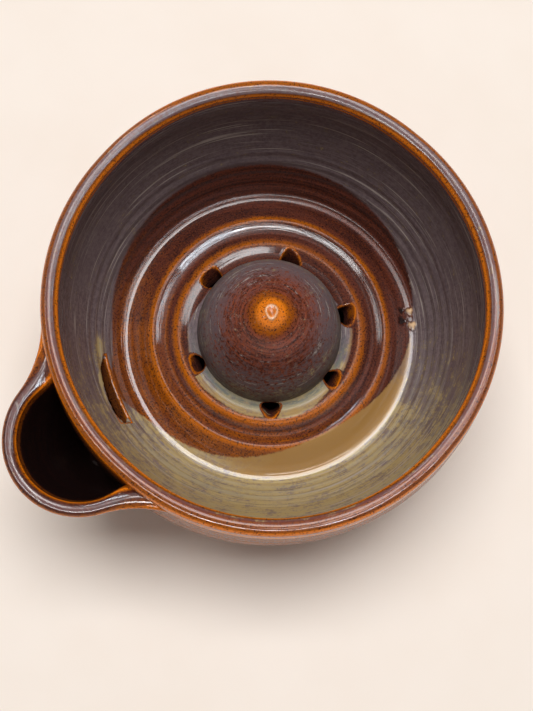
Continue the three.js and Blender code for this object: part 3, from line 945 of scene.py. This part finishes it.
def paint_strainer(piece):
    """Brown floor with amber ridges, and coat in moat and trough."""
    at = Places(piece)
    edge, inside = drain_edges(at)
    lip, behind, lobe = slot_edges(at)
    flank_coat, olive = flank_layers(at, lobe)
    in_moat = at.radius < MOAT_LIMIT
    coat = np.where(in_moat, pool_edge(at.angle) - at.radius, flank_coat)
    coat = np.where(in_moat & (at.z < MOAT[1] - 1.5), -COAT_FULL, coat)
    inner = near(at.radius, INNER_RIDGE[0] + 0.4, 2.1)
    outer = near(at.radius, OUTER_RIDGE[0] + 0.7, 1.7)
    # Amber on the ridges is painted brighter on the side where light falls and duller away from it, as
    # painted light and shade
    ridges = np.maximum(inner, outer) * lerp(0.72, 0.95, facing(at.angle, LIGHT_SHADE_TURN, -0.7, 0.7))
    warm = 0.52 * facing(at.angle, WARM_TURN, -0.7, 0.9) * rise(at.radius, MOAT_LIMIT, MOAT_LIMIT + 3)
    fringe = 0.8 * near(at.radius, 28.4, 1.2) * facing(at.angle, NEAR_TURN, -0.3, 0.6)
    crumbs = spots(at, CRUMBS)
    pits = spots(at, PITS)
    trough_pool = 1 - rise(at.radius, TROUGH[0] + 0.4, TROUGH[0] + 3.4)
    trough_pool = trough_pool * (0.3 + 0.7 * beside(at.angle, RUN_TURN, 60))
    dry_trough = 0.7 * near(at.radius, TROUGH[0] + 0.8, 2.2) * beside(at.angle, 190, 42)
    dry_ridge = 0.8 * near(at.radius, OUTER_RIDGE[0] + 1, 2.4) * beside(at.angle, 172, 40)
    paint(
        piece,
        coat=np.minimum(coat, COAT_FULL) - COAT_WIPE * strongest(edge, inside, lip, behind),
        amber=strongest(ridges, warm, 1.1 * edge, 1.1 * lip) * (1 - 0.8 * inside),
        pool=np.where(in_moat, 0.62 * rise(at.radius, 28.6, 31), trough_pool),
        olive=olive,
        blue=fringe,
        bare=crumbs,
        # Painted shade inside the drain holes, behind the slot and in the pits
        dark=strongest(0.85 * inside, 0.6 * behind, 0.9 * pits * (1 - crumbs)),
        matt=strongest(
            near(at.radius, INNER_RIDGE[0], 1.2),
            near(at.radius, GROOVE[0], 1.2),
            rise(MOAT[0] + 1.2 - at.radius, 0, 0.8),
            0.8 * near(at.radius, OUTER_RIDGE[0], 0.9),
            dry_trough,
            dry_ridge,
            far_flank(at),
        ),
    )


def paint_coil(piece):
    at = Places(piece)
    coat, olive = flank_layers(at, slot_edges(at)[2])
    paint(piece, coat=np.minimum(coat, COAT_FULL), olive=olive, matt=far_flank(at))


def paint_dome(piece):
    """Orange tip, red brown crown and thin blue grey foot, with painted shade on its near side and at its
    foot.
    """
    at = Places(piece)
    edge, inside = drain_edges(at)
    tip = 1 - rise(at.radius, 2.0, 12.5)
    skirt = rise(at.radius, 23, 27)
    leaf = leaf_share(at)
    on_tip = at.z > DOME_FOOT_Z + DOME_RISE - DOME_WALL / 2
    # Painted shade on the dome's near side: less coat there, and darker
    shade = near(at.radius, 19, 6) * facing(at.angle, LIGHT_SHADE_TURN, 0, 1)
    paint(
        piece,
        coat=lerp(-1.5, 1.1, rise(at.radius, 4, 24)) - shade - 8 * np.maximum(edge, inside),
        # Less orange inside the tip's leaf, whose raised edge is painted as unglazed clay below, partly a
        # painted highlight
        amber=np.maximum(1.35 * tip - 0.35 * rise(1 - leaf, 0, 0.5), 0.7 * edge),
        olive=0.4 * rise(at.radius, 21, 27),
        plum=0.6 * (1 - rise(at.radius, 14, 24)),
        blue=0.5 * skirt,
        # Unglazed clay on the leaf's raised edge, which also stands in for its highlight
        bare=0.75 * near(leaf, 1.0, 0.2) * on_tip,
        # Painted shade in the holes, on the near side and at the foot where the dome meets the moat
        dark=strongest(0.85 * inside, 0.3 * shade, 0.3 * skirt),
    )


def paint_spout(piece, depth, swing):
    """Amber lines along a plum lip, amber outside, and painted shade inside with a blue grey tint as a
    painted reflection.
    """
    at = Places(piece)
    across = 1 - 2 * depth / SPOUT_WALL
    over = over_lip(across, (at.z - SPOUT_LIP_Z) / SPOUT_CROWN)
    on_lip = at.z > SPOUT_LIP_Z - 3
    lines = np.maximum(near(np.abs(over), 158, 24), near(np.abs(over), 12, 36)) * on_lip
    crown = near(over, 88, 48) * on_lip * (1 - 0.5 * rise(swing, 0.55, 0.8))
    inside = across < 0
    # Deep inside the spout: painted shade, with a blue grey tint in its coat as a painted reflection
    deep = inside * rise(SPOUT_LIP_Z - at.z, -0.6, 4)
    outer_glaze = np.where(inside, 0.0, 0.75) * (1 - crown)
    paint(
        piece,
        coat=lerp(np.where(inside, -1.5, -0.4), 1.0, crown) - 6 * lines,
        amber=np.maximum(1.2 * lines, outer_glaze),
        pool=outer_glaze,
        plum=0.6 * crown,
        blue=deep,
        dark=0.88 * deep,
    )


def paint_web(piece, hidden):
    """Amber, with painted shade where the clay hides it."""
    at = Places(piece)
    top = rise(at.z, SPOUT_LIP_Z - 2, SPOUT_LIP_Z + 1)
    paint(piece, coat=-0.5 - 0.8 * top, amber=0.9 + 0.15 * top, pool=0.7, plum=0.3, dark=0.95 * hidden)


# Glaze

def linear(red, green, blue):
    """Colour as it is seen, 0 to 255, as the numbers that a shader takes."""
    def channel(value):
        share = value / 255
        return share / 12.92 if share <= 0.04045 else ((share + 0.055) / 1.055) ** 2.4
    return (channel(red), channel(green), channel(blue), 1)


BROWN = linear(92, 46, 34)
RED_BROWN = linear(134, 68, 46)
DARK_BROWN = linear(56, 27, 22)
PURPLE_BROWN = linear(98, 54, 46)
RUST = linear(128, 64, 26)
AMBER = linear(164, 86, 8)
ORANGE = linear(232, 126, 24)
SLATE = linear(120, 105, 106)
DARK_SLATE = linear(92, 78, 82)
PLUM = linear(122, 66, 56)
OLIVE = linear(172, 151, 104)
PALE_OLIVE = linear(164, 157, 134)
KHAKI = linear(158, 120, 68)
BLUE_GREY = linear(82, 96, 100)
# Pale streaks, partly the glaze's own and partly painted highlights on the throwing rings
PALE_STREAK_AND_HIGHLIGHT = linear(168, 157, 150)
CLAY = linear(206, 168, 126)
# Near black of the painted shade in holes and hollows
SHADE_BLACK = linear(15, 13, 15)
FLECK = linear(38, 18, 14)

# How far the thrown noises are drawn out round the wheel, and the radius that keeps them off its axis
STREAK_STRETCH = 5
RING_STRETCH = 1.6
AXIS_RADIUS = 0.5


class Nodes:
    """Short names for the nodes of one material."""

    def __init__(self, name):
        self.material = bpy.data.materials.new(name)
        self.material.use_nodes = True
        self.tree = self.material.node_tree
        self.shader = self.tree.nodes["Principled BSDF"]

    def fill(self, node, inputs):
        """Link or set some of a node's inputs."""
        for key, value in inputs.items():
            if isinstance(value, bpy.types.NodeSocket):
                self.tree.links.new(value, node.inputs[key])
            else:
                node.inputs[key].default_value = value

    def add(self, kind, inputs=(), **settings):
        """Outputs of a new node."""
        node = self.tree.nodes.new(kind)
        for key, value in settings.items():
            setattr(node, key, value)
        self.fill(node, dict(inputs))
        return node.outputs

    def maths(self, operation, *values):
        return self.add("ShaderNodeMath", enumerate(values), operation=operation)[0]

    def times(self, first, second):
        return self.maths("MULTIPLY", first, second)

    def total(self, *values):
        return functools.reduce(lambda first, second: self.maths("ADD", first, second), values)

    def sway(self, noise, size):
        """Noise about 0, over a range of this size."""
        return self.times(self.maths("SUBTRACT", noise, 0.5), size)

    def mix(self, share, first, second):
        return self.add("ShaderNodeMix", {0: share, 6: first, 7: second}, data_type="RGBA")[2]

    def ease(self, value, low, high):
        inputs = {"Value": value, "From Min": low, "From Max": high}
        return self.add("ShaderNodeMapRange", inputs, interpolation_type="SMOOTHSTEP")["Result"]

    def lay(self, tint, colour, value, low, high, share=None):
        """Lay a tint, or a share of it, over a colour where a value goes from low to high."""
        cover = self.ease(value, low, high)
        if share is not None:
            cover = self.times(cover, share)
        return self.mix(cover, colour, tint)

    def noise(self, place, size, detail=3.0, roughness=0.6):
        """Noise whose features are about size millimetres across."""
        inputs = {"Vector": place, "Scale": 1 / (size * MM), "Detail": detail, "Roughness": roughness}
        return self.add("ShaderNodeTexNoise", inputs)["Fac"]

    def layer(self, name):
        return self.add("ShaderNodeAttribute", attribute_name=name)["Fac"]


def wheel_place(nodes, place, stretch, climb):
    """Coordinates that run slowly round the wheel axis and fast across it, for thrown streaks."""
    x, y, z = nodes.add("ShaderNodeSeparateXYZ", {0: place})
    radius = nodes.maths("SQRT", nodes.total(nodes.times(x, x), nodes.times(y, y)))
    safe = nodes.maths("MAXIMUM", radius, AXIS_RADIUS * MM)
    around = [nodes.times(nodes.maths("DIVIDE", across, safe), stretch * MM) for across in (x, y)]
    climbed = nodes.maths("MULTIPLY_ADD", radius, climb, z)
    return nodes.add("ShaderNodeCombineXYZ", enumerate((*around, climbed)))[0]


def glaze_noises(nodes, climb, grain):
    place = nodes.add("ShaderNodeTexCoord")["Object"]
    drawn = wheel_place(nodes, place, RING_STRETCH, climb)
    return SimpleNamespace(
        specks=nodes.noise(place, 0.65, 2.0, 0.7),
        blotch=nodes.noise(place, 6.0, 4.0),
        fibre=nodes.noise(place, 1.4, 4.0, 0.75),
        streak=nodes.noise(wheel_place(nodes, place, STREAK_STRETCH, climb), grain, 4.0, 0.65),
        ring=nodes.noise(drawn, 1.1),
        cloud=nodes.noise(drawn, 3.2),
    )


def iron_colour(nodes, noise, amber, brown):
    """Brown glaze that breaks amber and orange where it is thin."""
    sway = nodes.sway
    thin = nodes.total(amber, sway(noise.blotch, 0.5), sway(noise.specks, 0.6), sway(noise.ring, 0.6))
    colour = nodes.lay(DARK_BROWN, brown, noise.ring, 0.3, 0.7)
    colour = nodes.lay(RUST, colour, noise.specks, 0.5, 0.66, 0.35)
    colour = nodes.lay(AMBER, colour, thin, 0.2, 0.95)
    colour = nodes.lay(PURPLE_BROWN, colour, noise.cloud, 0.48, 0.68, 0.45)
    colour = nodes.lay(ORANGE, colour, amber, 0.85, 1.2)
    return nodes.lay(FLECK, colour, noise.specks, 0.45, 0.36, 0.85)


def coat_colour(nodes, noise, layer):
    """Slate coat with plum, olive, khaki and pale thrown streaks, the last partly painted highlights."""
    sway = nodes.sway
    grain = nodes.total(noise.streak, sway(noise.fibre, 1.0))
    blush = nodes.total(nodes.times(layer.plum, 0.8), sway(noise.fibre, 1.2))
    mottle = nodes.total(layer.olive, sway(noise.fibre, 2.2), sway(noise.streak, 2.2))
    mottle = nodes.total(mottle, sway(noise.blotch, 2.0))
    pooled = nodes.total(layer.pool, sway(noise.blotch, 0.6))
    streaks = nodes.times(nodes.maths("SUBTRACT", 1.0, layer.pool), 0.9)
    colour = nodes.lay(DARK_SLATE, SLATE, grain, 0.3, 0.72)
    colour = nodes.lay(PLUM, colour, blush, 0.1, 1.0)
    colour = nodes.lay(OLIVE, colour, mottle, 0.32, 1.15)
    colour = nodes.lay(PALE_OLIVE, colour, noise.cloud, 0.48, 0.62, nodes.times(layer.olive, 0.5))
    colour = nodes.lay(KHAKI, colour, pooled, 0.35, 0.9)
    # Pale streaks along the throwing rings, partly the glaze's own and partly painted highlights
    colour = nodes.lay(PALE_STREAK_AND_HIGHLIGHT, colour, noise.ring, 0.58, 0.68, streaks)
    return nodes.lay(BLUE_GREY, colour, noise.streak, 0.3, 0.6, layer.blue)


def glaze(name, brown=BROWN, climb=1, grain=0.7, mottled=1.3, streaky=0.5, soft=0.4,
          rough=0.1, gloss=0.32, tip_gloss=0, dries=False):
    """Iron glaze that breaks amber where it is thin, under a poured coat that runs and pools."""
    nodes = Nodes(name)
    noise = glaze_noises(nodes, climb, grain)
    layer = SimpleNamespace(**{key: nodes.layer(key) for key in LAYERS})

    ragged = nodes.total(nodes.sway(noise.fibre, mottled), nodes.sway(noise.streak, streaky))
    covered = nodes.ease(nodes.total(layer.coat, ragged), 0.2 - soft, 0.2 + soft)
    iron = iron_colour(nodes, noise, layer.amber, brown)
    colour = nodes.mix(covered, iron, coat_colour(nodes, noise, layer))
    # Painted shade in holes and hollows, then unglazed clay, which on the tip's leaf edge is also a
    # painted highlight
    colour = nodes.mix(layer.dark, colour, SHADE_BLACK)
    colour = nodes.mix(layer.bare, colour, CLAY)

    shine = nodes.maths("MULTIPLY_ADD", layer.amber, -0.5 * rough, rough)
    shine = nodes.maths("MULTIPLY_ADD", covered, 0.05, shine)
    shine = nodes.maths("MULTIPLY_ADD", nodes.maths("MAXIMUM", layer.bare, layer.matt), 0.3, shine)
    level = gloss
    if tip_gloss:
        level = nodes.maths("MULTIPLY_ADD", nodes.ease(layer.amber, 0.7, 1.1), tip_gloss, gloss)
    if dries:
        level = nodes.maths("MULTIPLY_ADD", layer.matt, -0.9 * gloss, gloss)

    rings = {"Strength": 0.4, "Distance": 0.12 * MM, "Height": noise.ring}
    skin = {"Strength": 0.2, "Distance": 0.04 * MM, "Height": noise.fibre}
    skin["Normal"] = nodes.add("ShaderNodeBump", rings)[0]
    nodes.fill(nodes.shader, {
        "Base Color": colour,
        "Roughness": shine,
        "IOR": 1.6,
        "Specular IOR Level": level,
        "Normal": nodes.add("ShaderNodeBump", skin)[0],
    })
    return nodes.material


# Build the pieces

def dress(piece, node, material):
    piece.data.materials.clear()
    piece.data.materials.append(material)
    piece.data.shade_smooth()
    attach(piece, "root")
    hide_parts(node)


slate_glaze = glaze("slate_glaze", dries=True)
tenmoku_glaze = glaze("tenmoku_glaze", rough=0.08, dries=True)
dome_glaze = glaze("dome_glaze", brown=RED_BROWN, climb=-1, grain=0.5, mottled=8.0, streaky=4.0, soft=1.1,
                   rough=0.36, gloss=0.03, tip_gloss=0.4)
amber_glaze = glaze("amber_glaze", mottled=1.8, streaky=1.8, soft=0.9, rough=0.12)

bowl = turned("bowl_body_clay", bowl_outline())
cut(bowl, [port_tool()])
shape_by_hand(bowl)
paint_bowl(bowl)
dress(bowl, "bowl_body", slate_glaze)

strainer = turned("strainer_floor_clay", strainer_outline())
cut(strainer, [drain_tool(*hole) for hole in DRAIN_HOLES] + [slot_tool()])
soften(strainer, VOXEL)
shape_by_hand(strainer)
blemish(strainer)
paint_strainer(strainer)
dress(strainer, "strainer_floor", tenmoku_glaze)

coil = turned("strainer_coil_clay", coil_outline())
shape_by_hand(coil)
paint_coil(coil)
dress(coil, "strainer_coil", tenmoku_glaze)

dome = turned("reamer_dome_clay", dome_outline())
cut(dome, [drain_tool(*hole) for hole in DRAIN_HOLES])
soften(dome, DOME_VOXEL)
pinch(dome)
paint_dome(dome)
dress(dome, "reamer_dome", dome_glaze)

spout, spout_depth, spout_swing = spout_mesh()
paint_spout(spout, spout_depth, spout_swing)
dress(spout, "pour_spout", amber_glaze)

web, web_hidden = web_mesh()
paint_web(web, web_hidden)
dress(web, "spout_coil", amber_glaze)


# Floor, world and light

FLOOR_HALF = 900
FLOOR = linear(243, 233, 223)
FLOOR_CLOUD = linear(241, 230, 219)
FLOOR_CLOUD_SIZE = 60
WORLD_GLOW = (0.215, 0.2, 0.19, 1)

corners = [(x * FLOOR_HALF, y * FLOOR_HALF, 0) for x, y in ((-1, -1), (1, -1), (1, 1), (-1, 1))]
floor = piece_from("floor", corners, [(0, 1, 2, 3)])
paper = Nodes("paper")
cloud = paper.noise(paper.add("ShaderNodeTexCoord")["Object"], FLOOR_CLOUD_SIZE)
tone = paper.mix(paper.ease(cloud, 0.3, 0.7), FLOOR, FLOOR_CLOUD)
paper.fill(paper.shader, {"Base Color": tone, "Roughness": 0.9, "Specular IOR Level": 0.1})
floor.data.materials.append(paper.material)

world = bpy.data.worlds.new("studio")
world.use_nodes = True
bpy.context.scene.world = world
sky = world.node_tree.nodes["Background"]
path = world.node_tree.nodes.new("ShaderNodeLightPath")
blend = world.node_tree.nodes.new("ShaderNodeMix")
blend.data_type = "RGBA"
blend.inputs[6].default_value = WORLD_GLOW
blend.inputs[7].default_value = FLOOR
world.node_tree.links.new(path.outputs["Is Camera Ray"], blend.inputs[0])
world.node_tree.links.new(blend.outputs[2], sky.inputs["Color"])

BOWL_MIDDLE = Vector((0, 0, 40)) * MM
WHITE = (1, 1, 1)
COOL = (0.82, 0.91, 1)


def soft_box(name, turn, tilt, distance, wide, deep, radiance, tint=WHITE, shine=True):
    """Panel of light leaning in over the bowl, turned in degrees from the photograph's far side."""
    lamp = bpy.data.lights.new(name, "AREA")
    lamp.shape = "RECTANGLE"
    lamp.size = wide * MM
    lamp.size_y = deep * MM
    lamp.energy = radiance * math.pi * wide * deep * MM * MM
    lamp.color = tint
    far = math.atan2(IMAGE_UP.y, IMAGE_UP.x) - math.radians(turn)
    lean = math.radians(tilt)
    back = Vector((math.cos(far) * math.sin(lean), math.sin(far) * math.sin(lean), math.cos(lean)))
    side = Vector((0, 0, 1)).cross(back).normalized()
    aim = Matrix((side, back.cross(side), back)).transposed().to_4x4()
    stand = bpy.data.objects.new(name, lamp)
    stand.visible_glossy = shine
    stand.visible_diffuse = not shine
    stand.matrix_world = Matrix.Translation(BOWL_MIDDLE + back * distance * MM) @ aim
    bpy.context.scene.collection.objects.link(stand)


# A soft key high over the far side lights the clay, and the panels only shine in the glaze
soft_box("key", 0, 12, 2800, 1900, 1120, 11.4, shine=False)
PANEL_DISTANCE = 1400
STRIP_LENGTH = 870
# A ring of strips, three windows and a glint as turn, tilt, width, depth, radiance and tint
PANELS = {
    "strip_90": (90, 48, STRIP_LENGTH, 130, 13, COOL),
    "strip_135": (135, 39, STRIP_LENGTH, 140, 30, COOL),
    "strip_180": (180, 39, STRIP_LENGTH, 130, 32, WHITE),
    "strip_225": (225, 40, STRIP_LENGTH, 120, 26, WHITE),
    "strip_270": (270, 48, STRIP_LENGTH, 120, 11, WHITE),
    "far_window": (0, 19, 500, 560, 13, WHITE),
    "right_window": (85, 24, 420, 360, 10, WHITE),
    "near_window": (143, 15, 420, 210, 15, WHITE),
    "glint": (-27, 53, 300, 200, 24, COOL),
}
for name, (turn, tilt, *panel) in PANELS.items():
    soft_box(name, turn, tilt, PANEL_DISTANCE, *panel)


# Camera

CAMERA_PLACE = Vector((57.9, 61.3, 397.9)) * MM
FOCAL_PIXELS = 986
IMAGE_HEIGHT = 711
SENSOR = 36

lens = bpy.data.cameras.new("camera")
lens.sensor_width = SENSOR
lens.lens = FOCAL_PIXELS * SENSOR / IMAGE_HEIGHT
lens.clip_start = 0.01
camera = bpy.data.objects.new("camera", lens)
aim = Matrix((IMAGE_RIGHT, IMAGE_UP, IMAGE_BACK)).transposed().to_4x4()
camera.matrix_world = Matrix.Translation(CAMERA_PLACE) @ aim
bpy.context.scene.collection.objects.link(camera)
bpy.context.scene.camera = camera
bpy.context.scene.view_settings.view_transform = "Standard"
